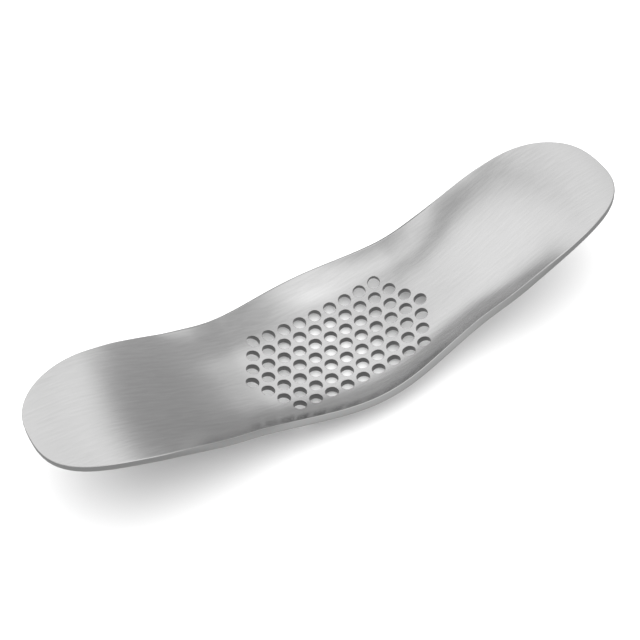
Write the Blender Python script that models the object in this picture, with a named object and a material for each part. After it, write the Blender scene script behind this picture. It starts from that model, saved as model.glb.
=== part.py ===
"""Garlic rocker: a hand press made of one stamped, perforated and curved stainless steel plate.

The cook lays the plate on peeled cloves, holds its two raised ends and rocks it, and the garlic
comes up through the holes into the dish. The plate has no other piece. Metres, +Z up, +X along
the plate. The origin is on the floor below the middle, where the underside touches down.
"""

import math

import bmesh
import bpy
import numpy as np
from mathutils import Vector

MM = 0.001

# Outline of the plate, seen from above. All of it is measured over the upper edge.
LENGTH = 192.0 * MM
MIDDLE_WIDTH = 53.2 * MM
WAIST_WIDTH = 43.7 * MM
GRIP_WIDTH = 44.4 * MM
WAIST_FROM_MIDDLE = 38.7 * MM
GRIP_FROM_MIDDLE = 53.7 * MM
END_LENGTH = 39.4 * MM
END_FULLNESS = 2.6

# Sheet and perforation. The holes stand in a triangular grid whose rows run along the plate.
THICKNESS = 2.0 * MM
HOLE_DIAMETER = 4.0 * MM
HOLE_PITCH = 5.45 * MM
HOLES_IN_MIDDLE_ROW = 12
ROWS_EACH_SIDE = 3

# Curve of the upper face along the middle. Stations are lengths along the curve.
ROCKER_RADIUS = 135.0 * MM
RISE_ANGLE = math.radians(28.7)
TIP_ANGLE = math.radians(0.9)
SHOULDER_ANGLE = math.radians(2.5)
SHOULDER_START, SHOULDER_FULL = 27.0 * MM, 32.0 * MM
SHOULDER_EASE, SHOULDER_END = 40.0 * MM, 50.0 * MM
KICK_START = 37.6 * MM
KICK_END = 59.4 * MM
LEVEL_START = 65.3 * MM
LEVEL_END = 102.1 * MM

# Curve of the upper face across the plate: a dish in the middle that runs out in the handles.
DISH_DEPTH = 6.33 * MM
TIP_DISH_DEPTH = 0.2 * MM
DISH_POWER = 4
DISH_FADE_START = 37.4 * MM
DISH_FADE_END = 70.2 * MM

# The bends of the handles run across the plate along arcs, with the rounded end.
BEND_ARC_RADIUS = 48.0 * MM
BEND_ARC_START = 38.0 * MM
BEND_ARC_END = 65.4 * MM

# The underside is truly flat where it is this close to the floor.
REST_FLAT_DEPTH = 0.02 * MM

# Fineness of the mesh. The point of the outline that faces a corner of the perforated field lies
# so many times as far out from the middle as that corner.
HOLE_SIDES = 12
RINGS_AROUND_HOLES = 9
CORNER_SPREAD = 1.5
CURVE_STEP = 0.1 * MM
WELD = 0.001 * MM

STEEL_COLOUR = (0.60, 0.60, 0.59, 1.0)
STEEL_ROUGHNESS = 0.3


def smooth_step(value, start, end):
    """0 up to the start, 1 from the end on, with a smooth change between."""
    share = np.clip((value - start) / (end - start), 0.0, 1.0)
    return share * share * (3.0 - 2.0 * share)


def running_sum(rate, step):
    """The integral of evenly spaced rates, from 0."""
    return np.concatenate([[0.0], np.cumsum((rate[1:] + rate[:-1]) / 2.0 * step)])


def middle_curve():
    """The curve from the middle past the tip: its stations, their distances out and their heights."""
    station = np.arange(0.0, LENGTH * 0.75, CURVE_STEP)
    kick = smooth_step(station, KICK_START, KICK_END)
    level = smooth_step(station, LEVEL_START, LEVEL_END)
    rocker = station / ROCKER_RADIUS * (1.0 - kick)
    slope = rocker + RISE_ANGLE * kick * (1.0 - level) + TIP_ANGLE * level
    # A low shoulder just outside the perforated field, where the sheet is stiffer.
    shoulder = smooth_step(station, SHOULDER_START, SHOULDER_FULL)
    slope += SHOULDER_ANGLE * shoulder * (1.0 - smooth_step(station, SHOULDER_EASE, SHOULDER_END))
    return station, running_sum(np.cos(slope), CURVE_STEP), running_sum(np.sin(slope), CURVE_STEP)


def half_width(out):
    """Half the plate's width at a distance out from the middle, before the end is rounded."""
    belly = (1.0 + np.cos(math.pi * np.clip(out / WAIST_FROM_MIDDLE, 0.0, 1.0))) / 2.0
    grip = smooth_step(out, WAIST_FROM_MIDDLE, GRIP_FROM_MIDDLE)
    width = WAIST_WIDTH + (MIDDLE_WIDTH - WAIST_WIDTH) * belly + (GRIP_WIDTH - WAIST_WIDTH) * grip
    return width / 2.0


def quarter_outline():
    """The outline from the tip to the middle of the far side, as evenly spaced distances, x and y."""
    turn = np.linspace(0.0, math.pi / 2.0, 400)
    end_start = LENGTH / 2.0 - END_LENGTH
    end_out = end_start + END_LENGTH * np.cos(turn) ** (2.0 / END_FULLNESS)
    side_out = np.linspace(end_start, 0.0, 200)[1:]
    out = np.concatenate([end_out, side_out])
    rounding = np.ones_like(out)
    rounding[: len(turn)] = np.sin(turn) ** (2.0 / END_FULLNESS)
    side = half_width(out) * rounding
    return np.concatenate([[0.0], np.cumsum(np.hypot(np.diff(out), np.diff(side)))]), out, side


STATION, STATION_OUT, STATION_HEIGHT = middle_curve()
OUTLINE_WAY, OUTLINE_OUT, OUTLINE_SIDE = quarter_outline()


def height(x, y):
    """Height of the upper face over the origin."""
    out = abs(x)
    bend = out + smooth_step(out, BEND_ARC_START, BEND_ARC_END) * y * y / (2.0 * BEND_ARC_RADIUS)
    fade = smooth_step(out, DISH_FADE_START, DISH_FADE_END)
    depth = DISH_DEPTH + (TIP_DISH_DEPTH - DISH_DEPTH) * fade
    dish = depth * abs(y / half_width(out)) ** DISH_POWER
    return THICKNESS + float(np.interp(bend, STATION_OUT, STATION_HEIGHT)) + dish


def face_normal(x, y):
    """Unit normal of the upper face."""
    reach = CURVE_STEP
    along = (height(x + reach, y) - height(x - reach, y)) / (2.0 * reach)
    across = (height(x, y + reach) - height(x, y - reach)) / (2.0 * reach)
    return Vector((-along, -across, 1.0)).normalized()


def hole_centres():
    """Centres of the holes on the flat blank. Each row has one hole less than the row inside it."""
    centres = []
    for row in range(-ROWS_EACH_SIDE, ROWS_EACH_SIDE + 1):
        count = HOLES_IN_MIDDLE_ROW - abs(row)
        y = row * HOLE_PITCH * math.sqrt(3.0) / 2.0
        centres += [Vector(((i - (count - 1) / 2.0) * HOLE_PITCH, y, 0.0)) for i in range(count)]
    return centres


def hexagon_reach(angle):
    """Distance from a hole's centre to the edge of its six-sided cell."""
    sixth = math.pi / 3.0
    return HOLE_PITCH / 2.0 / math.cos((angle + sixth / 2.0) % sixth - sixth / 2.0)


def add_cell(bm, centre):
    """One hole with the six-sided ring of sheet that belongs to it."""
    made = bmesh.ops.create_circle(bm, segments=HOLE_SIDES, radius=HOLE_DIAMETER / 2.0)
    hole = made["verts"]
    # The circle starts on the Y axis, and the cell has a corner there too.
    rim = {edge for vert in hole for edge in vert.link_edges}
    ring = bmesh.ops.extrude_edge_only(bm, edges=list(rim))["geom"]
    outer = [item for item in ring if isinstance(item, bmesh.types.BMVert)]
    for vert in outer:
        vert.co *= hexagon_reach(math.atan2(vert.co.y, vert.co.x)) / vert.co.length
    bmesh.ops.translate(bm, verts=hole + outer, vec=centre)


def outer_loop(bm):
    """Corners of the perforated field's outer edge, in order, starting at the end on +X."""
    near_hole = HOLE_DIAMETER / 2.0 + WELD
    holes = hole_centres()

    def on_hole(vert):
        return any((vert.co - centre).length < near_hole for centre in holes)

    edges = {edge for edge in bm.edges if edge.is_boundary and not any(map(on_hole, edge.verts))}
    first = max((v for edge in edges for v in edge.verts), key=lambda v: v.co.x - abs(v.co.y))
    neighbours = [e.other_vert(first) for e in first.link_edges if e in edges]
    loop = [first, max(neighbours, key=lambda v: v.co.y)]
    while loop[-1] is not first:
        ahead = [e.other_vert(loop[-1]) for e in loop[-1].link_edges if e in edges]
        loop.append(next(v for v in ahead if v is not loop[-2]))
    return loop[:-1]


def straighten(loop):
    """Moves the field's zigzag edge out to an even six-sided line."""
    cosine, sine = math.sqrt(3.0) / 2.0, 0.5
    corner_reach = HOLE_PITCH / math.sqrt(3.0)
    flat_side = ROWS_EACH_SIDE * HOLE_PITCH * cosine + corner_reach
    slant_side = (HOLES_IN_MIDDLE_ROW - 1) / 2.0 * HOLE_PITCH * cosine + corner_reach
    for vert in loop:
        x, y = abs(vert.co.x), abs(vert.co.y)
        to_flat, to_slant = flat_side - y, slant_side - x * cosine - y * sine
        if y < WELD:
            x = slant_side / cosine
        elif to_flat <= to_slant + WELD:
            y = flat_side
        else:
            x, y = x + to_slant * cosine, y + to_slant * sine
        vert.co = (math.copysign(x, vert.co.x), math.copysign(y, vert.co.y), 0.0)


def outline_point(share, corner_share, corner_way):
    """Point of the outline at a share of the way round, from the tip on +X through the +Y side.

    The corner's share and way say which point of each quarter faces the field's corner.
    """
    quarter, along = divmod(share * 4.0, 1.0)
    if quarter % 2.0 == 1.0:
        along = 1.0 - along
    way = float(np.interp(along, (0.0, corner_share, 1.0), (0.0, corner_way, OUTLINE_WAY[-1])))
    x = float(np.interp(way, OUTLINE_WAY, OUTLINE_OUT))
    y = float(np.interp(way, OUTLINE_WAY, OUTLINE_SIDE))
    return Vector((-x if quarter in (1.0, 2.0) else x, -y if quarter >= 2.0 else y, 0.0))


def surround_field(bm, loop):
    """Plain sheet from the perforated field's outer edge out to the outline, in even rings."""
    highest = max(vert.co.y for vert in loop)
    corner = next(index for index, vert in enumerate(loop) if vert.co.y > highest - WELD)
    corner_share = corner / (len(loop) / 4.0)
    corner_way = float(np.interp(-CORNER_SPREAD * loop[corner].co.x, -OUTLINE_OUT, OUTLINE_WAY))
    edges = [edge for edge in bm.edges if edge.is_boundary and all(v in loop for v in edge.verts)]
    made = bmesh.ops.extrude_edge_only(bm, edges=edges)["geom"]
    new = {item for item in made if isinstance(item, bmesh.types.BMVert)}
    rungs = []
    for index, vert in enumerate(loop):
        rung = next(edge for edge in vert.link_edges if edge.other_vert(vert) in new)
        rung.other_vert(vert).co = outline_point(index / len(loop), corner_share, corner_way)
        rungs.append(rung)
    bmesh.ops.subdivide_edges(bm, edges=rungs, cuts=RINGS_AROUND_HOLES - 1)


def flat_sheet(bm):
    """The sheet as seen from above, with its holes where they come to lie once it is curved."""
    for centre in hole_centres():
        add_cell(bm, centre)
    bmesh.ops.remove_doubles(bm, verts=bm.verts[:], dist=WELD)
    loop = outer_loop(bm)
    straighten(loop)
    for vert in bm.verts:
        out = float(np.interp(abs(vert.co.x), STATION, STATION_OUT))
        vert.co.x = math.copysign(out, vert.co.x)
    surround_field(bm, loop)


def curve_and_thicken(bm):
    """Curves the sheet, then gives it its thickness square to the upper face."""
    upper = bm.verts[:]
    normals = [face_normal(vert.co.x, vert.co.y) for vert in upper]
    for vert in upper:
        vert.co.z = height(vert.co.x, vert.co.y)
    down = {tuple(vert.co): normal for vert, normal in zip(upper, normals)}
    made = bmesh.ops.extrude_face_region(bm, geom=bm.faces[:])["geom"]
    for vert in (item for item in made if isinstance(item, bmesh.types.BMVert)):
        vert.co -= down[tuple(vert.co)] * THICKNESS
        if vert.co.z < REST_FLAT_DEPTH:
            vert.co.z = 0.0
    bmesh.ops.recalc_face_normals(bm, faces=bm.faces[:])


def steel():
    """Brushed stainless steel."""
    material = bpy.data.materials.new("steel")
    material.use_nodes = True
    shader = material.node_tree.nodes["Principled BSDF"]
    shader.inputs["Base Color"].default_value = STEEL_COLOUR
    shader.inputs["Metallic"].default_value = 1.0
    shader.inputs["Roughness"].default_value = STEEL_ROUGHNESS
    return material


def build_plate():
    """The whole plate as one closed body."""
    bm = bmesh.new()
    flat_sheet(bm)
    curve_and_thicken(bm)
    mesh = bpy.data.meshes.new("rocker_plate")
    bm.to_mesh(mesh)
    bm.free()
    mesh.shade_smooth()
    mesh.set_sharp_from_angle(angle=math.radians(40.0))
    mesh.materials.append(steel())
    plate = bpy.data.objects.new("rocker_plate", mesh)
    bpy.context.collection.objects.link(plate)
    return plate


for old in list(bpy.data.objects):
    bpy.data.objects.remove(old)
build_plate()
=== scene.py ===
"""Garlic rocker: one stamped and curved plate of brushed stainless steel, in a plain white studio.

The plate stands on its rounded middle. Its perforated dish lies between two raised handles.
Sizes are in metres, +X runs along the plate and +Z is up, as in the CAD frame.
"""

import logging
import math
from dataclasses import dataclass
from enum import Enum

import bmesh
import bpy
import numpy as np
from mathutils import Matrix, Vector


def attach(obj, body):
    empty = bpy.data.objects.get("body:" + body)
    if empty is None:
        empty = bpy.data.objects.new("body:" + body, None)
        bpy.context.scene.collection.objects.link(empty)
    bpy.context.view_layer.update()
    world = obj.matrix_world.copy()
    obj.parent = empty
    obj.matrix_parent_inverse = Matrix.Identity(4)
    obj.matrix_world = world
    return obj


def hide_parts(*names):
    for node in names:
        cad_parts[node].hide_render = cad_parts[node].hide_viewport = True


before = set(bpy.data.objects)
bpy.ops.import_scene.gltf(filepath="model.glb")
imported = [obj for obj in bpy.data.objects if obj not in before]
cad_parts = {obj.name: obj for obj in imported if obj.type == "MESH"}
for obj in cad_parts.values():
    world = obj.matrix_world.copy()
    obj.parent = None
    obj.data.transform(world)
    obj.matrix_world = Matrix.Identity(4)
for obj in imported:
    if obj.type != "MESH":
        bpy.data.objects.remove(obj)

log = logging.getLogger("garlic_rocker")

MM = 0.001
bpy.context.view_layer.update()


def smooth_step(value: np.ndarray | float, start: float, end: float) -> np.ndarray:
    """Rise smoothly from 0 at the start to 1 at the end.

    Args:
        value: Where to read the step, one number or many.
        start: The last place where the step is 0.
        end: The first place where the step is 1.

    Returns:
        The step's height at each value.
    """
    share = np.clip((value - start) / (end - start), 0.0, 1.0)
    return share * share * (3.0 - 2.0 * share)


def running_sum(rate: np.ndarray, step: float) -> np.ndarray:
    """Add up evenly spaced rates.

    Args:
        rate: The rate at each place.
        step: The distance between two places.

    Returns:
        The sum up to each place, starting with 0.
    """
    return np.concatenate([[0.0], np.cumsum((rate[1:] + rate[:-1]) / 2.0 * step)])


class Side(Enum):
    """The two broad sides of the sheet."""

    UPPER = 1.0
    LOWER = -1.0


@dataclass(frozen=True)
class PlateOutline:
    """The plate's edge, seen from above, with its narrow waists and rounded ends."""

    length: float = 192.0 * MM
    middle_width: float = 53.2 * MM
    waist_width: float = 43.7 * MM
    grip_width: float = 44.4 * MM
    waist_from_middle: float = 38.7 * MM
    grip_from_middle: float = 53.7 * MM
    end_length: float = 39.4 * MM
    end_fullness: float = 2.6
    end_points: int = 400
    side_points: int = 200

    def half_width(self, out: np.ndarray | float) -> np.ndarray:
        """Measure half the width before the end is rounded.

        Args:
            out: Distance out from the middle of the plate.

        Returns:
            Half the width there.
        """
        belly = (1.0 + np.cos(math.pi * np.clip(out / self.waist_from_middle, 0.0, 1.0))) / 2.0
        grip = smooth_step(out, self.waist_from_middle, self.grip_from_middle)
        width = self.waist_width + (self.middle_width - self.waist_width) * belly
        return (width + (self.grip_width - self.waist_width) * grip) / 2.0

    def quarter(self) -> tuple[np.ndarray, np.ndarray, np.ndarray]:
        """Walk the edge from the tip to the middle of the far side.

        Returns:
            The way walked so far, the distance out and the distance to the side.
        """
        turn = np.linspace(0.0, math.pi / 2.0, self.end_points)
        end_start = self.length / 2.0 - self.end_length
        end_out = end_start + self.end_length * np.cos(turn) ** (2.0 / self.end_fullness)
        out = np.concatenate([end_out, np.linspace(end_start, 0.0, self.side_points)[1:]])
        rounding = np.ones_like(out)
        rounding[: len(turn)] = np.sin(turn) ** (2.0 / self.end_fullness)
        side = self.half_width(out) * rounding
        way = np.concatenate([[0.0], np.cumsum(np.hypot(np.diff(out), np.diff(side)))])
        return way, out, side


@dataclass(frozen=True)
class PlateCurve:
    """How the upper face rises from the rocker to the handles and from the dish to its sides."""

    outline: PlateOutline
    thickness: float = 2.0 * MM
    rocker_radius: float = 135.0 * MM
    rise_angle: float = math.radians(28.7)
    tip_angle: float = math.radians(0.9)
    kick: tuple[float, float] = (37.6 * MM, 59.4 * MM)
    level: tuple[float, float] = (65.3 * MM, 102.1 * MM)
    shoulder_angle: float = math.radians(2.5)
    shoulder: tuple[float, float, float, float] = (27.0 * MM, 32.0 * MM, 40.0 * MM, 50.0 * MM)
    dish_depth: float = 6.33 * MM
    tip_dish_depth: float = 0.2 * MM
    dish_power: float = 4.0
    dish_fade: tuple[float, float] = (37.4 * MM, 70.2 * MM)
    bend_arc_radius: float = 48.0 * MM
    bend_arc: tuple[float, float] = (38.0 * MM, 65.4 * MM)
    step: float = 0.1 * MM

    def middle(self) -> tuple[np.ndarray, np.ndarray, np.ndarray]:
        """Trace the upper face from the middle past the tip.

        Returns:
            Lengths along the curve, with the distance out and the rise at each.
        """
        station = np.arange(0.0, self.outline.length * 0.75, self.step)
        kick = smooth_step(station, *self.kick)
        level = smooth_step(station, *self.level)
        slope = station / self.rocker_radius * (1.0 - kick) + self.rise_angle * kick * (1.0 - level)
        start, full, ease, end = self.shoulder
        shoulder = smooth_step(station, start, full) * (1.0 - smooth_step(station, ease, end))
        slope = slope + self.tip_angle * level + self.shoulder_angle * shoulder
        return station, running_sum(np.cos(slope), self.step), running_sum(np.sin(slope), self.step)

    def height(self, x: np.ndarray, y: np.ndarray) -> np.ndarray:
        """Find how high the upper face lies.

        Args:
            x: Places along the plate.
            y: Places across the plate.

        Returns:
            The height over the floor at each place.
        """
        out = np.abs(x)
        arc = y * y / (2.0 * self.bend_arc_radius)
        bend = out + smooth_step(out, *self.bend_arc) * arc
        fade = smooth_step(out, *self.dish_fade)
        depth = self.dish_depth + (self.tip_dish_depth - self.dish_depth) * fade
        _, reach, rise = self.middle()
        dish = depth * np.abs(y / self.outline.half_width(out)) ** self.dish_power
        return self.thickness + np.interp(bend, reach, rise) + dish

    def normals(self, x: np.ndarray, y: np.ndarray) -> np.ndarray:
        """Find which way the upper face looks.

        Args:
            x: Places along the plate.
            y: Places across the plate.

        Returns:
            One unit normal for each place.
        """
        reach = self.step * 2.0
        along = (self.height(x + reach, y) - self.height(x - reach, y)) / (2.0 * reach)
        across = (self.height(x, y + reach) - self.height(x, y - reach)) / (2.0 * reach)
        normal = np.stack([-along, -across, np.ones_like(along)], axis=-1)
        return normal / np.linalg.norm(normal, axis=-1, keepdims=True)


@dataclass(frozen=True)
class Perforation:
    """Round holes in a triangular grid whose rows run along the plate."""

    diameter: float = 4.0 * MM
    pitch: float = 5.45 * MM
    middle_row: int = 12
    rows_each_side: int = 3
    sides: int = 36
    web_rings: int = 2

    def centres(self) -> list[Vector]:
        """List the hole centres on the flat sheet, each row one hole shorter than the last."""
        found = []
        for row in range(-self.rows_each_side, self.rows_each_side + 1):
            count = self.middle_row - abs(row)
            y = row * self.pitch * math.sqrt(3.0) / 2.0
            start = -(count - 1) / 2.0 * self.pitch
            found += [Vector((start + index * self.pitch, y, 0.0)) for index in range(count)]
        return found

    def cell_reach(self, angle: float) -> float:
        """Measure from a hole's centre to the edge of its six-sided cell, at an angle."""
        sixth = math.pi / 3.0
        return self.pitch / 2.0 / math.cos((angle + sixth / 2.0) % sixth - sixth / 2.0)


@dataclass(frozen=True)
class BrushedSteel:
    """Stainless steel brushed along the plate."""

    colour: tuple[float, float, float] = (0.62, 0.619, 0.619)
    roughness: float = 0.23
    anisotropy: float = 0.8
    turn: float = 0.25
    streaks_along: float = 130.0
    streaks_across: float = 1300.0
    streak_shade: float = 0.18
    streak_roughness: float = 0.07
    streak_height: float = 0.012 * MM

    def material(self) -> bpy.types.Material:
        """Build the steel's material.

        Returns:
            The material, with its brushing in a node group.
        """
        material = bpy.data.materials.new("brushed_steel")
        material.use_nodes = True
        nodes, links = material.node_tree.nodes, material.node_tree.links
        shader = nodes["Principled BSDF"]
        shader.inputs["Base Color"].default_value = (*self.colour, 1.0)
        shader.inputs["Metallic"].default_value = 1.0
        shader.inputs["Roughness"].default_value = self.roughness
        shader.inputs["Anisotropic"].default_value = self.anisotropy
        shader.inputs["Anisotropic Rotation"].default_value = self.turn
        tangent = nodes.new("ShaderNodeTangent")
        tangent.direction_type = "UV_MAP"
        tangent.uv_map = "plate"
        links.new(tangent.outputs["Tangent"], shader.inputs["Tangent"])
        place = nodes.new("ShaderNodeUVMap")
        place.uv_map = "plate"
        brushing = nodes.new("ShaderNodeGroup")
        brushing.node_tree = brushing_group()
        brushing.inputs["Along"].default_value = self.streaks_along
        brushing.inputs["Across"].default_value = self.streaks_across
        brushing.inputs["Colour"].default_value = (*self.colour, 1.0)
        brushing.inputs["Shade"].default_value = self.streak_shade
        brushing.inputs["Roughness"].default_value = self.roughness
        brushing.inputs["Variation"].default_value = self.streak_roughness
        links.new(place.outputs["UV"], brushing.inputs["Place"])
        links.new(brushing.outputs["Colour"], shader.inputs["Base Color"])
        links.new(brushing.outputs["Roughness"], shader.inputs["Roughness"])
        bump = nodes.new("ShaderNodeBump")
        bump.inputs["Strength"].default_value = 1.0
        bump.inputs["Distance"].default_value = self.streak_height
        links.new(brushing.outputs["Height"], bump.inputs["Height"])
        links.new(bump.outputs["Normal"], shader.inputs["Normal"])
        return material


def brushing_group() -> bpy.types.NodeTree:
    """Build the node group that draws fine streaks along the plate.

    Returns:
        The group, which is built once and shared.
    """
    found = bpy.data.node_groups.get("Brushing")
    if found:
        return found
    group = bpy.data.node_groups.new("Brushing", "ShaderNodeTree")
    sockets = group.interface
    sockets.new_socket("Place", in_out="INPUT", socket_type="NodeSocketVector")
    sockets.new_socket("Colour", in_out="INPUT", socket_type="NodeSocketColor")
    for name in ("Along", "Across", "Shade", "Roughness", "Variation"):
        sockets.new_socket(name, in_out="INPUT", socket_type="NodeSocketFloat")
    sockets.new_socket("Colour", in_out="OUTPUT", socket_type="NodeSocketColor")
    for name in ("Roughness", "Height"):
        sockets.new_socket(name, in_out="OUTPUT", socket_type="NodeSocketFloat")
    nodes, links = group.nodes, group.links
    start, end = nodes.new("NodeGroupInput"), nodes.new("NodeGroupOutput")
    stretch = nodes.new("ShaderNodeCombineXYZ")
    links.new(start.outputs["Along"], stretch.inputs["X"])
    links.new(start.outputs["Across"], stretch.inputs["Y"])
    scaled = nodes.new("ShaderNodeVectorMath")
    scaled.operation = "MULTIPLY"
    links.new(start.outputs["Place"], scaled.inputs[0])
    links.new(stretch.outputs["Vector"], scaled.inputs[1])
    noise = nodes.new("ShaderNodeTexNoise")
    noise.noise_dimensions = "2D"
    noise.inputs["Scale"].default_value = 1.0
    noise.inputs["Detail"].default_value = 3.0
    noise.inputs["Roughness"].default_value = 0.6
    links.new(scaled.outputs["Vector"], noise.inputs["Vector"])
    centred = nodes.new("ShaderNodeMath")
    centred.operation = "SUBTRACT"
    centred.inputs[1].default_value = 0.5
    links.new(noise.outputs["Fac"], centred.inputs[0])
    shade = nodes.new("ShaderNodeMath")
    shade.operation = "MULTIPLY_ADD"
    shade.inputs[2].default_value = 1.0
    links.new(centred.outputs["Value"], shade.inputs[0])
    links.new(start.outputs["Shade"], shade.inputs[1])
    tinted = nodes.new("ShaderNodeVectorMath")
    tinted.operation = "SCALE"
    links.new(start.outputs["Colour"], tinted.inputs[0])
    links.new(shade.outputs["Value"], tinted.inputs["Scale"])
    links.new(tinted.outputs["Vector"], end.inputs["Colour"])
    varied = nodes.new("ShaderNodeMath")
    varied.operation = "MULTIPLY_ADD"
    links.new(centred.outputs["Value"], varied.inputs[0])
    links.new(start.outputs["Variation"], varied.inputs[1])
    links.new(start.outputs["Roughness"], varied.inputs[2])
    links.new(varied.outputs["Value"], end.inputs["Roughness"])
    links.new(noise.outputs["Fac"], end.inputs["Height"])
    return group


@dataclass(frozen=True)
class CutSteelWithPaintedShade:
    """The duller, rougher steel of a cut edge, where the sheet was punched through, with its colour
    darkened partly as duller sheared steel and mostly as painted shade on the cut walls.
    """

    name: str
    colour: tuple[float, float, float]
    roughness: float = 0.4

    def material(self) -> bpy.types.Material:
        """Build the cut edge's material.

        Returns:
            The material, plain, a little rough and darkened as painted shade.
        """
        material = bpy.data.materials.new(self.name)
        material.use_nodes = True
        shader = material.node_tree.nodes["Principled BSDF"]
        # The dark base colour is mostly painted shade on the cut walls; only the roughness stands
        # for the sheared steel.
        shader.inputs["Base Color"].default_value = (*self.colour, 1.0)
        shader.inputs["Metallic"].default_value = 1.0
        shader.inputs["Roughness"].default_value = self.roughness
        return material


@dataclass
class RockerPlate:
    """The whole press: one perforated and curved plate with rounded edges."""

    outline: PlateOutline
    curve: PlateCurve
    holes: Perforation
    finish: BrushedSteel
    rim_cut_painted_shade: CutSteelWithPaintedShade
    hole_cut_painted_shade: CutSteelWithPaintedShade
    rings: int = 26
    corner_spread: float = 1.5
    rim_rounding: float = 0.3 * MM
    hole_rounding: float = 0.12 * MM
    rounding_steps: int = 3
    rest_flat_depth: float = 0.02 * MM
    weld: float = 0.001 * MM
    sharp_angle: float = math.radians(55.0)
    broad_facing: float = 0.985
    wall_facing: float = 0.35

    def add_cell(self, bm: bmesh.types.BMesh, centre: Vector) -> None:
        """Add one hole with the six-sided ring of sheet that belongs to it.

        Args:
            bm: The flat sheet so far.
            centre: The middle of the hole.
        """
        radius = self.holes.diameter / 2.0
        made = bmesh.ops.create_circle(bm, segments=self.holes.sides, radius=radius)
        ring, cell = made["verts"], list(made["verts"])
        edges = list({edge for vert in ring for edge in vert.link_edges})
        for number in range(1, self.holes.web_rings + 1):
            share = number / self.holes.web_rings
            grown = bmesh.ops.extrude_edge_only(bm, edges=edges)["geom"]
            edges = [item for item in grown if isinstance(item, bmesh.types.BMEdge)]
            ring = [item for item in grown if isinstance(item, bmesh.types.BMVert)]
            edges = [edge for edge in edges if all(vert in ring for vert in edge.verts)]
            for vert in ring:
                reach = self.holes.cell_reach(math.atan2(vert.co.y, vert.co.x))
                vert.co *= (radius + (reach - radius) * share) / vert.co.length
            cell += ring
        bmesh.ops.translate(bm, verts=cell, vec=centre)

    def field_edge(self, bm: bmesh.types.BMesh) -> list[bmesh.types.BMVert]:
        """Walk round the outer edge of the perforated field.

        Args:
            bm: The welded cells of all the holes.

        Returns:
            The edge's corners in order, starting at the end on +X.
        """
        near = self.holes.diameter / 2.0 + self.weld
        centres = np.array([centre[:2] for centre in self.holes.centres()])

        def on_hole(vert: bmesh.types.BMVert) -> bool:
            """Say whether a corner lies on the rim of a hole."""
            return float(np.hypot(*(centres - np.array(vert.co[:2])).T).min()) < near

        rim = [edge for edge in bm.edges if edge.is_boundary]
        edges = {edge for edge in rim if not on_hole(edge.verts[0])}
        first = max((v for e in edges for v in e.verts), key=lambda v: v.co.x - abs(v.co.y))
        sides = [edge.other_vert(first) for edge in first.link_edges if edge in edges]
        loop = [first, max(sides, key=lambda vert: vert.co.y)]
        while loop[-1] is not first:
            ahead = [edge.other_vert(loop[-1]) for edge in loop[-1].link_edges if edge in edges]
            loop.append(next(vert for vert in ahead if vert is not loop[-2]))
        return loop[:-1]

    def straighten(self, loop: list[bmesh.types.BMVert]) -> None:
        """Move the field's zigzag edge out to an even six-sided line.

        Args:
            loop: The corners of the field's edge.
        """
        pitch, cosine, sine = self.holes.pitch, math.sqrt(3.0) / 2.0, 0.5
        corner_reach = pitch / math.sqrt(3.0)
        flat_side = self.holes.rows_each_side * pitch * cosine + corner_reach
        slant_side = (self.holes.middle_row - 1) / 2.0 * pitch * cosine + corner_reach
        for vert in loop:
            x, y = abs(vert.co.x), abs(vert.co.y)
            to_flat, to_slant = flat_side - y, slant_side - x * cosine - y * sine
            if y < self.weld:
                x = slant_side / cosine
            elif to_flat <= to_slant + self.weld:
                y = flat_side
            else:
                x, y = x + to_slant * cosine, y + to_slant * sine
            vert.co = (math.copysign(x, vert.co.x), math.copysign(y, vert.co.y), 0.0)

    def surround(self, bm: bmesh.types.BMesh, loop: list[bmesh.types.BMVert]) -> None:
        """Add plain sheet in even rings from the perforated field out to the plate's edge.

        Args:
            bm: The flat sheet so far.
            loop: The corners of the field's edge.
        """
        way, out, side = self.outline.quarter()
        highest = max(vert.co.y for vert in loop)
        corner = next(i for i, vert in enumerate(loop) if vert.co.y > highest - self.weld)
        corner_share = corner / (len(loop) / 4.0)
        corner_way = float(np.interp(-self.corner_spread * loop[corner].co.x, -out, way))
        members = set(loop)
        edges = [e for e in bm.edges if e.is_boundary and all(v in members for v in e.verts)]
        made = bmesh.ops.extrude_edge_only(bm, edges=edges)["geom"]
        new = {item for item in made if isinstance(item, bmesh.types.BMVert)}
        rungs = []
        for index, vert in enumerate(loop):
            rung = next(edge for edge in vert.link_edges if edge.other_vert(vert) in new)
            quarter, along = divmod(index / len(loop) * 4.0, 1.0)
            along = 1.0 - along if quarter % 2.0 == 1.0 else along
            place = np.interp(along, (0.0, corner_share, 1.0), (0.0, corner_way, way[-1]))
            x, y = float(np.interp(place, way, out)), float(np.interp(place, way, side))
            x, y = (-x if quarter in (1.0, 2.0) else x), (-y if quarter >= 2.0 else y)
            rung.other_vert(vert).co = (x, y, 0.0)
            rungs.append(rung)
        bmesh.ops.subdivide_edges(bm, edges=rungs, cuts=self.rings - 1)

    def lay_out(self, bm: bmesh.types.BMesh) -> None:
        """Draw the sheet as seen from above, with its holes where the curve puts them."""
        for centre in self.holes.centres():
            self.add_cell(bm, centre)
        bmesh.ops.remove_doubles(bm, verts=bm.verts[:], dist=self.weld)
        loop = self.field_edge(bm)
        self.straighten(loop)
        station, reach, _ = self.curve.middle()
        for vert in bm.verts:
            out = float(np.interp(abs(vert.co.x), station, reach))
            vert.co.x = math.copysign(out, vert.co.x)
        self.surround(bm, loop)

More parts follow.
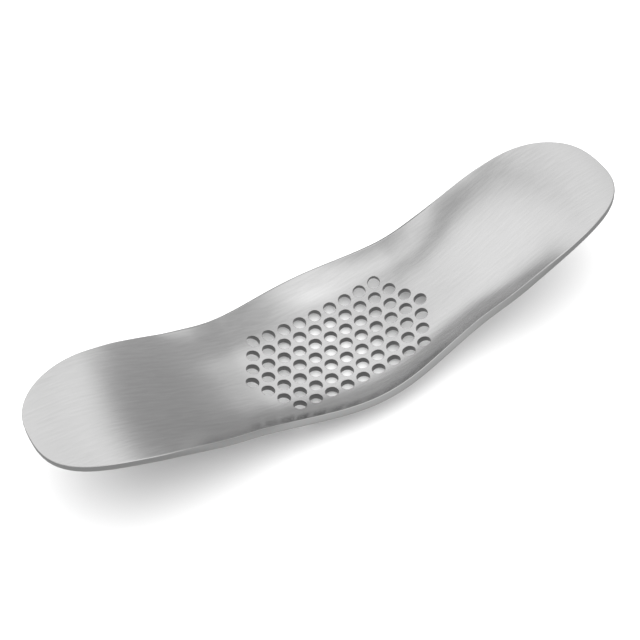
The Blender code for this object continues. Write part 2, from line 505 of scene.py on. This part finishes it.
    def curve_and_thicken(self, bm: bmesh.types.BMesh) -> None:
        """Curve the flat sheet and give it its thickness.

        Args:
            bm: The flat sheet, which becomes a closed body.
        """
        flat = np.array([vert.co for vert in bm.verts])
        normal = self.curve.normals(flat[:, 0], flat[:, 1])
        for vert, z in zip(bm.verts, self.curve.height(flat[:, 0], flat[:, 1])):
            vert.co.z = z
        down = {tuple(vert.co): Vector(way) for vert, way in zip(bm.verts, normal)}
        made = bmesh.ops.extrude_face_region(bm, geom=bm.faces[:])["geom"]
        for vert in (item for item in made if isinstance(item, bmesh.types.BMVert)):
            vert.co -= down[tuple(vert.co)] * self.curve.thickness
            if vert.co.z < self.rest_flat_depth:
                vert.co.z = 0.0
        bmesh.ops.recalc_face_normals(bm, faces=bm.faces[:])

    def round_edges(self, bm: bmesh.types.BMesh) -> None:
        """Round the plate's rim and the lips of its holes on both faces.

        Args:
            bm: The closed body with sharp edges.
        """
        bm.faces.ensure_lookup_table()
        bm.edges.ensure_lookup_table()
        sharp = [e for e in bm.edges if e.is_manifold and e.calc_face_angle() > self.sharp_angle]
        rim, lips = [], []
        for edge in sharp:
            middle = (edge.verts[0].co + edge.verts[1].co) / 2.0
            (lips if self.in_field(middle.x, middle.y) else rim).append(edge)
        for edges, offset in ((lips, self.hole_rounding), (rim, self.rim_rounding)):
            bmesh.ops.bevel(
                bm,
                geom=edges,
                offset=offset,
                offset_type="OFFSET",
                segments=self.rounding_steps,
                profile=0.5,
                affect="EDGES",
                material=-1,
                clamp_overlap=False,
            )

    def in_field(self, x: float, y: float) -> bool:
        """Say whether a place lies among the holes, and not out at the plate's rim."""
        length = (self.holes.middle_row / 2.0 + 1.0) * self.holes.pitch
        width = (self.holes.rows_each_side + 0.9) * self.holes.pitch * math.sqrt(3.0) / 2.0
        return abs(x) < length and abs(y) < width

    def facings(self, mesh: bpy.types.Mesh) -> tuple[np.ndarray, np.ndarray]:
        """Find how squarely each face looks the way the upper side does.

        Args:
            mesh: The finished mesh.

        Returns:
            The middle of each face, and from 1 for the upper side to -1 for the lower side.
        """
        count = len(mesh.polygons)
        centre, normal = np.empty(count * 3), np.empty(count * 3)
        mesh.polygons.foreach_get("center", centre)
        mesh.polygons.foreach_get("normal", normal)
        centre, normal = centre.reshape(-1, 3), normal.reshape(-1, 3)
        facing = (self.curve.normals(centre[:, 0], centre[:, 1]) * normal).sum(axis=1)
        return centre, facing

    def face_sides(self, mesh: bpy.types.Mesh) -> np.ndarray:
        """Tell the broad sides of the sheet from its edges.

        Args:
            mesh: The finished mesh.

        Returns:
            For each face 1 on the upper side, -1 on the lower side and 0 on an edge.
        """
        _, facing = self.facings(mesh)
        side = np.zeros(len(facing))
        side[facing > self.broad_facing] = Side.UPPER.value
        side[facing < -self.broad_facing] = Side.LOWER.value
        return side

    def smooth_normals(self, mesh: bpy.types.Mesh) -> None:
        """Give the broad sides their true curve, so reflections run evenly across them.

        Args:
            mesh: The finished mesh.
        """
        mesh.shade_smooth()
        count = len(mesh.vertices)
        co, normal = np.empty(count * 3), np.empty(count * 3)
        mesh.vertices.foreach_get("co", co)
        mesh.vertices.foreach_get("normal", normal)
        co, normal = co.reshape(-1, 3), normal.reshape(-1, 3).copy()
        true = self.curve.normals(co[:, 0], co[:, 1])
        side = self.face_sides(mesh)
        loops = np.empty(len(mesh.loops), dtype=np.int32)
        mesh.loops.foreach_get("vertex_index", loops)
        sizes = np.empty(len(mesh.polygons), dtype=np.int32)
        mesh.polygons.foreach_get("loop_total", sizes)
        owner = np.repeat(side, sizes)
        for kind in Side:
            members = np.unique(loops[owner == kind.value])
            normal[members] = true[members] * kind.value
        mesh.normals_split_custom_set_from_vertices(normal.tolist())

    def unwrap(self, mesh: bpy.types.Mesh) -> None:
        """Lay a map over the plate with U along the brushing and V across it, in metres.

        Args:
            mesh: The finished mesh.
        """
        uv = mesh.uv_layers.new(name="plate")
        count = len(mesh.vertices)
        co = np.empty(count * 3)
        mesh.vertices.foreach_get("co", co)
        co = co.reshape(-1, 3)
        loops = np.empty(len(mesh.loops), dtype=np.int32)
        mesh.loops.foreach_get("vertex_index", loops)
        sizes = np.empty(len(mesh.polygons), dtype=np.int32)
        mesh.polygons.foreach_get("loop_total", sizes)
        normal = np.empty(len(mesh.polygons) * 3)
        mesh.polygons.foreach_get("normal", normal)
        normal = np.repeat(normal.reshape(-1, 3), sizes, axis=0)
        station, reach, _ = self.curve.middle()
        x, y, z = co[loops].T
        along = np.copysign(np.interp(np.abs(x), reach, station), x)
        depth = self.curve.height(x, y) - z
        wall = np.repeat(self.face_sides(mesh) == 0.0, sizes)
        u = along + np.where(wall, normal[:, 0] * depth, 0.0)
        v = y + np.where(wall, normal[:, 1] * depth, 0.0)
        uv.data.foreach_set("uv", np.stack([u, v], axis=1).ravel().astype(np.float32))

    def dress(self, mesh: bpy.types.Mesh) -> None:
        """Give the faces brushed steel, and the cut walls of rim and holes their own rougher
        finish, whose darker colour is painted shade.

        Args:
            mesh: The finished mesh.
        """
        for finish in (self.finish, self.rim_cut_painted_shade, self.hole_cut_painted_shade):
            mesh.materials.append(finish.material())
        centre, facing = self.facings(mesh)
        for face, level, middle in zip(mesh.polygons, facing, centre):
            # Walls in the field take the holes' finish and the rest take the rim's, both darkened
            # as painted shade.
            if abs(level) < self.wall_facing:
                face.material_index = 2 if self.in_field(middle[0], middle[1]) else 1

    def build(self) -> bpy.types.Object:
        """Build and dress the plate.

        Returns:
            The finished plate, standing for the CAD plate.
        """
        bm = bmesh.new()
        self.lay_out(bm)
        self.curve_and_thicken(bm)
        self.round_edges(bm)
        mesh = bpy.data.meshes.new("steel_plate")
        bm.to_mesh(mesh)
        bm.free()
        self.unwrap(mesh)
        self.smooth_normals(mesh)
        self.dress(mesh)
        plate = bpy.data.objects.new("steel_plate", mesh)
        bpy.context.scene.collection.objects.link(plate)
        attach(plate, "root")
        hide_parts("rocker_plate")
        log.info("plate: %d faces, %d holes", len(mesh.polygons), len(self.holes.centres()))
        return plate


@dataclass(frozen=True)
class SoftPanel:
    """One large soft light of the studio, placed by the direction it is seen in."""

    azimuth: float
    elevation: float
    roll: float
    half_width: float
    half_height: float
    softness: float
    level: float

    def axes(self) -> tuple[Vector, Vector, Vector]:
        """Find the panel's own directions.

        Returns:
            Towards the panel, along its width and along its height.
        """
        azimuth, elevation = math.radians(self.azimuth), math.radians(self.elevation)
        roll = math.radians(self.roll)
        flat = math.cos(elevation)
        towards = Vector(
            (flat * math.cos(azimuth), flat * math.sin(azimuth), math.sin(elevation))
        )
        level = Vector((-math.sin(azimuth), math.cos(azimuth), 0.0))
        steep = towards.cross(level)
        width = level * math.cos(roll) + steep * math.sin(roll)
        height = steep * math.cos(roll) - level * math.sin(roll)
        return towards, width, height


def panel_group() -> bpy.types.NodeTree:
    """Build the node group that shows one soft panel in the sky of the studio.

    Returns:
        The group, which is built once and shared.
    """
    found = bpy.data.node_groups.get("Soft Panel")
    if found:
        return found
    group = bpy.data.node_groups.new("Soft Panel", "ShaderNodeTree")
    sockets = group.interface
    for name in ("Direction", "Towards", "Width", "Height"):
        sockets.new_socket(name, in_out="INPUT", socket_type="NodeSocketVector")
    for name in ("Half Width", "Half Height", "Softness"):
        sockets.new_socket(name, in_out="INPUT", socket_type="NodeSocketFloat")
    sockets.new_socket("Mask", in_out="OUTPUT", socket_type="NodeSocketFloat")
    nodes, links = group.nodes, group.links
    start, end = nodes.new("NodeGroupInput"), nodes.new("NodeGroupOutput")

    def reading(axis: str) -> bpy.types.NodeSocket:
        """Read how far a direction points along one of the panel's axes."""
        node = nodes.new("ShaderNodeVectorMath")
        node.operation = "DOT_PRODUCT"
        links.new(start.outputs["Direction"], node.inputs[0])
        links.new(start.outputs[axis], node.inputs[1])
        return node.outputs["Value"]

    def maths(operation: str, *values: bpy.types.NodeSocket | float) -> bpy.types.NodeSocket:
        """Join sockets or numbers with one operation."""
        node = nodes.new("ShaderNodeMath")
        node.operation = operation
        for socket, value in zip(node.inputs, values):
            if isinstance(value, bpy.types.NodeSocket):
                links.new(value, socket)
            else:
                socket.default_value = value
        return node.outputs["Value"]

    ahead = reading("Towards")
    masks = []
    for axis, half in (("Width", "Half Width"), ("Height", "Half Height")):
        angle = maths("ABSOLUTE", maths("ARCTAN2", reading(axis), ahead))
        fade = nodes.new("ShaderNodeMapRange")
        fade.interpolation_type = "SMOOTHSTEP"
        fade.inputs["To Min"].default_value = 1.0
        fade.inputs["To Max"].default_value = 0.0
        links.new(angle, fade.inputs["Value"])
        inner = maths("SUBTRACT", start.outputs[half], start.outputs["Softness"])
        outer = maths("ADD", start.outputs[half], start.outputs["Softness"])
        links.new(inner, fade.inputs["From Min"])
        links.new(outer, fade.inputs["From Max"])
        masks.append(fade.outputs["Result"])
    front = maths("GREATER_THAN", ahead, 0.0)
    links.new(maths("MULTIPLY", maths("MULTIPLY", *masks), front), end.inputs["Mask"])
    return group


@dataclass
class StudioTent:
    """A dim round tent that the steel reflects, with soft bright panels in it."""

    horizon: float
    zenith: float
    ground: float
    panels: list[SoftPanel]
    radius: float = 1.0
    least: float = 0.02
    ground_edge: tuple[float, float] = (-0.06, 0.02)

    def material(self) -> bpy.types.Material:
        """Build the tent's glow, which depends on the direction from the plate.

        Returns:
            The material, made of one layer per panel.
        """
        material = bpy.data.materials.new("studio_tent")
        material.use_nodes = True
        material.cycles.emission_sampling = "NONE"
        nodes, links = material.node_tree.nodes, material.node_tree.links
        nodes.clear()
        place = nodes.new("ShaderNodeTexCoord")
        ahead = nodes.new("ShaderNodeVectorMath")
        ahead.operation = "NORMALIZE"
        links.new(place.outputs["Object"], ahead.inputs[0])
        direction = ahead.outputs["Vector"]
        up = nodes.new("ShaderNodeSeparateXYZ")
        links.new(direction, up.inputs["Vector"])
        tent = nodes.new("ShaderNodeMapRange")
        tent.inputs["To Min"].default_value = self.horizon
        tent.inputs["To Max"].default_value = self.zenith
        links.new(up.outputs["Z"], tent.inputs["Value"])
        total = tent.outputs["Result"]
        for panel in self.panels:
            group = nodes.new("ShaderNodeGroup")
            group.node_tree = panel_group()
            links.new(direction, group.inputs["Direction"])
            for name, axis in zip(("Towards", "Width", "Height"), panel.axes()):
                group.inputs[name].default_value = axis
            group.inputs["Half Width"].default_value = math.radians(panel.half_width)
            group.inputs["Half Height"].default_value = math.radians(panel.half_height)
            group.inputs["Softness"].default_value = math.radians(panel.softness)
            light = nodes.new("ShaderNodeVectorMath")
            light.operation = "MULTIPLY_ADD"
            links.new(group.outputs["Mask"], light.inputs[0])
            light.inputs[1].default_value = (panel.level,) * 3
            links.new(total, light.inputs[2])
            total = light.outputs["Vector"]
        floored = nodes.new("ShaderNodeVectorMath")
        floored.operation = "MAXIMUM"
        floored.inputs[1].default_value = (self.least,) * 3
        links.new(total, floored.inputs[0])
        below = nodes.new("ShaderNodeMapRange")
        below.inputs["From Min"].default_value = self.ground_edge[0]
        below.inputs["From Max"].default_value = self.ground_edge[1]
        links.new(up.outputs["Z"], below.inputs["Value"])
        mixed = nodes.new("ShaderNodeMix")
        mixed.data_type = "VECTOR"
        links.new(below.outputs["Result"], mixed.inputs["Factor"])
        sides = {socket.identifier: socket for socket in mixed.inputs}
        sides["A_Vector"].default_value = (self.ground,) * 3
        links.new(floored.outputs["Vector"], sides["B_Vector"])
        result = next(socket for socket in mixed.outputs if socket.type == "VECTOR")
        glow = nodes.new("ShaderNodeEmission")
        links.new(result, glow.inputs["Color"])
        output = nodes.new("ShaderNodeOutputMaterial")
        links.new(glow.outputs["Emission"], output.inputs["Surface"])
        return material

    def build(self) -> bpy.types.Object:
        """Build the tent, which only the steel's reflections show, and the white backdrop.

        Returns:
            The tent.
        """
        bm = bmesh.new()
        bmesh.ops.create_icosphere(bm, subdivisions=5, radius=self.radius)
        mesh = bpy.data.meshes.new("studio_tent")
        bm.to_mesh(mesh)
        bm.free()
        mesh.materials.append(self.material())
        tent = bpy.data.objects.new("studio_tent", mesh)
        tent.visible_camera = tent.visible_diffuse = tent.visible_shadow = False
        tent.visible_transmission = False
        bpy.context.scene.collection.objects.link(tent)
        world = bpy.data.worlds.new("white_backdrop")
        world.use_nodes = True
        world.node_tree.nodes["Background"].inputs["Color"].default_value = (1.0, 1.0, 1.0, 1.0)
        world.cycles_visibility.diffuse = False
        bpy.context.scene.world = world
        log.info("tent: %d panels", len(self.panels))
        return tent


@dataclass(frozen=True)
class FloorLight:
    """A very soft light that brightens the floor and doesn't show in the steel."""

    name: str
    strength: float
    spread: float
    azimuth: float = 0.0
    tilt: float = 0.0

    def build(self) -> bpy.types.Object:
        """Build the light, leaning from straight overhead towards its azimuth.

        Returns:
            The light.
        """
        data = bpy.data.lights.new(self.name, "SUN")
        data.energy = self.strength
        data.angle = math.radians(self.spread)
        lamp = bpy.data.objects.new(self.name, data)
        lamp.rotation_euler = (0.0, math.radians(self.tilt), math.radians(self.azimuth))
        lamp.visible_glossy = False
        bpy.context.scene.collection.objects.link(lamp)
        return lamp


@dataclass
class StudioFloor:
    """A plain white floor that the plate stands on, with its own lights."""

    lights: list[FloorLight]
    half_size: float = 1.5
    brightness: float = 0.86

    def build(self) -> bpy.types.Object:
        """Build the floor and the soft lights that whiten it.

        Returns:
            The floor.
        """
        bm = bmesh.new()
        bmesh.ops.create_grid(bm, x_segments=1, y_segments=1, size=self.half_size)
        mesh = bpy.data.meshes.new("studio_floor")
        bm.to_mesh(mesh)
        bm.free()
        material = bpy.data.materials.new("white_floor")
        material.use_nodes = True
        shader = material.node_tree.nodes["Principled BSDF"]
        shader.inputs["Base Color"].default_value = (*(self.brightness,) * 3, 1.0)
        shader.inputs["Roughness"].default_value = 1.0
        shader.inputs["Specular IOR Level"].default_value = 0.0
        mesh.materials.append(material)
        floor = bpy.data.objects.new("studio_floor", mesh)
        bpy.context.scene.collection.objects.link(floor)
        floor.visible_glossy = False
        for light in self.lights:
            light.build()
        log.info("floor: %.1f m wide, %d lights", self.half_size * 2.0, len(self.lights))
        return floor


@dataclass
class CameraRig:
    """The camera, held by the direction it looks from and its distance."""

    azimuth: float = -27.68
    elevation: float = 50.28
    roll: float = -4.23
    distance: float = 401.8 * MM
    lens: float = 74.09
    sensor_width: float = 36.0
    nearest: float = 10.0 * MM
    slide: tuple[float, float] = (-5.665 * MM, 8.1 * MM)
    aim: tuple[float, float, float] = (0.0, 0.0, 2.0 * MM)

    def build(self) -> bpy.types.Object:
        """Build the camera and make it the scene's own.

        Returns:
            The camera.
        """
        azimuth, elevation = math.radians(self.azimuth), math.radians(self.elevation)
        flat = math.cos(elevation)
        back = Vector(
            (math.sin(azimuth) * flat, -math.cos(azimuth) * flat, math.sin(elevation))
        )
        level = Vector((math.cos(azimuth), math.sin(azimuth), 0.0))
        roll = Matrix.Rotation(math.radians(self.roll), 3, back)
        right, up = roll @ level, roll @ back.cross(level)
        data = bpy.data.cameras.new("camera")
        data.lens = self.lens
        data.sensor_width = self.sensor_width
        data.clip_start = self.nearest
        camera = bpy.data.objects.new("camera", data)
        place = Vector(self.aim) + back * self.distance + right * self.slide[0] + up * self.slide[1]
        turn = Matrix((right, up, back)).transposed().to_4x4()
        camera.matrix_world = Matrix.Translation(place) @ turn
        bpy.context.scene.collection.objects.link(camera)
        bpy.context.scene.camera = camera
        log.info("camera: %.0f mm lens", self.lens)
        return camera


def main() -> None:
    """Build the plate, then the studio round it."""
    logging.basicConfig(level=logging.INFO, format="%(name)s: %(message)s")
    outline = PlateOutline()
    RockerPlate(
        outline,
        PlateCurve(outline),
        Perforation(),
        BrushedSteel(),
        # The rim's cut wall is darkened to 0.40 as painted shade along the outer edge.
        rim_cut_painted_shade=CutSteelWithPaintedShade("cut_rim_painted_shade", (0.40, 0.40, 0.40)),
        # The holes' cut walls are darkest, at 0.18, as painted shade inside the holes.
        hole_cut_painted_shade=CutSteelWithPaintedShade("cut_holes_painted_shade", (0.18, 0.18, 0.18)),
    ).build()
    StudioFloor(
        [
            FloorLight("top_light", strength=3.4, spread=105.0, azimuth=30.0, tilt=10.0),
            FloorLight("sky_light", strength=2.1, spread=180.0),
        ]
    ).build()
    StudioTent(
        horizon=0.35,
        zenith=0.60,
        ground=0.60,
        panels=[
            # A large soft box behind the right handle.
            SoftPanel(
                azimuth=125.0, elevation=40.0, roll=0.0,
                half_width=25.0, half_height=25.0, softness=10.0, level=0.70,
            ),
            # A smaller one behind the dish, which its webs and both tips mirror.
            SoftPanel(
                azimuth=60.0, elevation=45.0, roll=0.0,
                half_width=20.0, half_height=12.0, softness=10.0, level=0.70,
            ),
            # A high one over the far side of the dish.
            SoftPanel(
                azimuth=20.0, elevation=75.0, roll=0.0,
                half_width=20.0, half_height=10.0, softness=10.0, level=0.40,
            ),
            # A tall strip in front, for the near edges.
            SoftPanel(
                azimuth=-70.0, elevation=45.0, roll=0.0,
                half_width=20.0, half_height=45.0, softness=10.0, level=0.60,
            ),
        ],
    ).build()
    CameraRig().build()
    bpy.context.scene.view_settings.view_transform = "Standard"


if __name__ == "__main__":
    main()
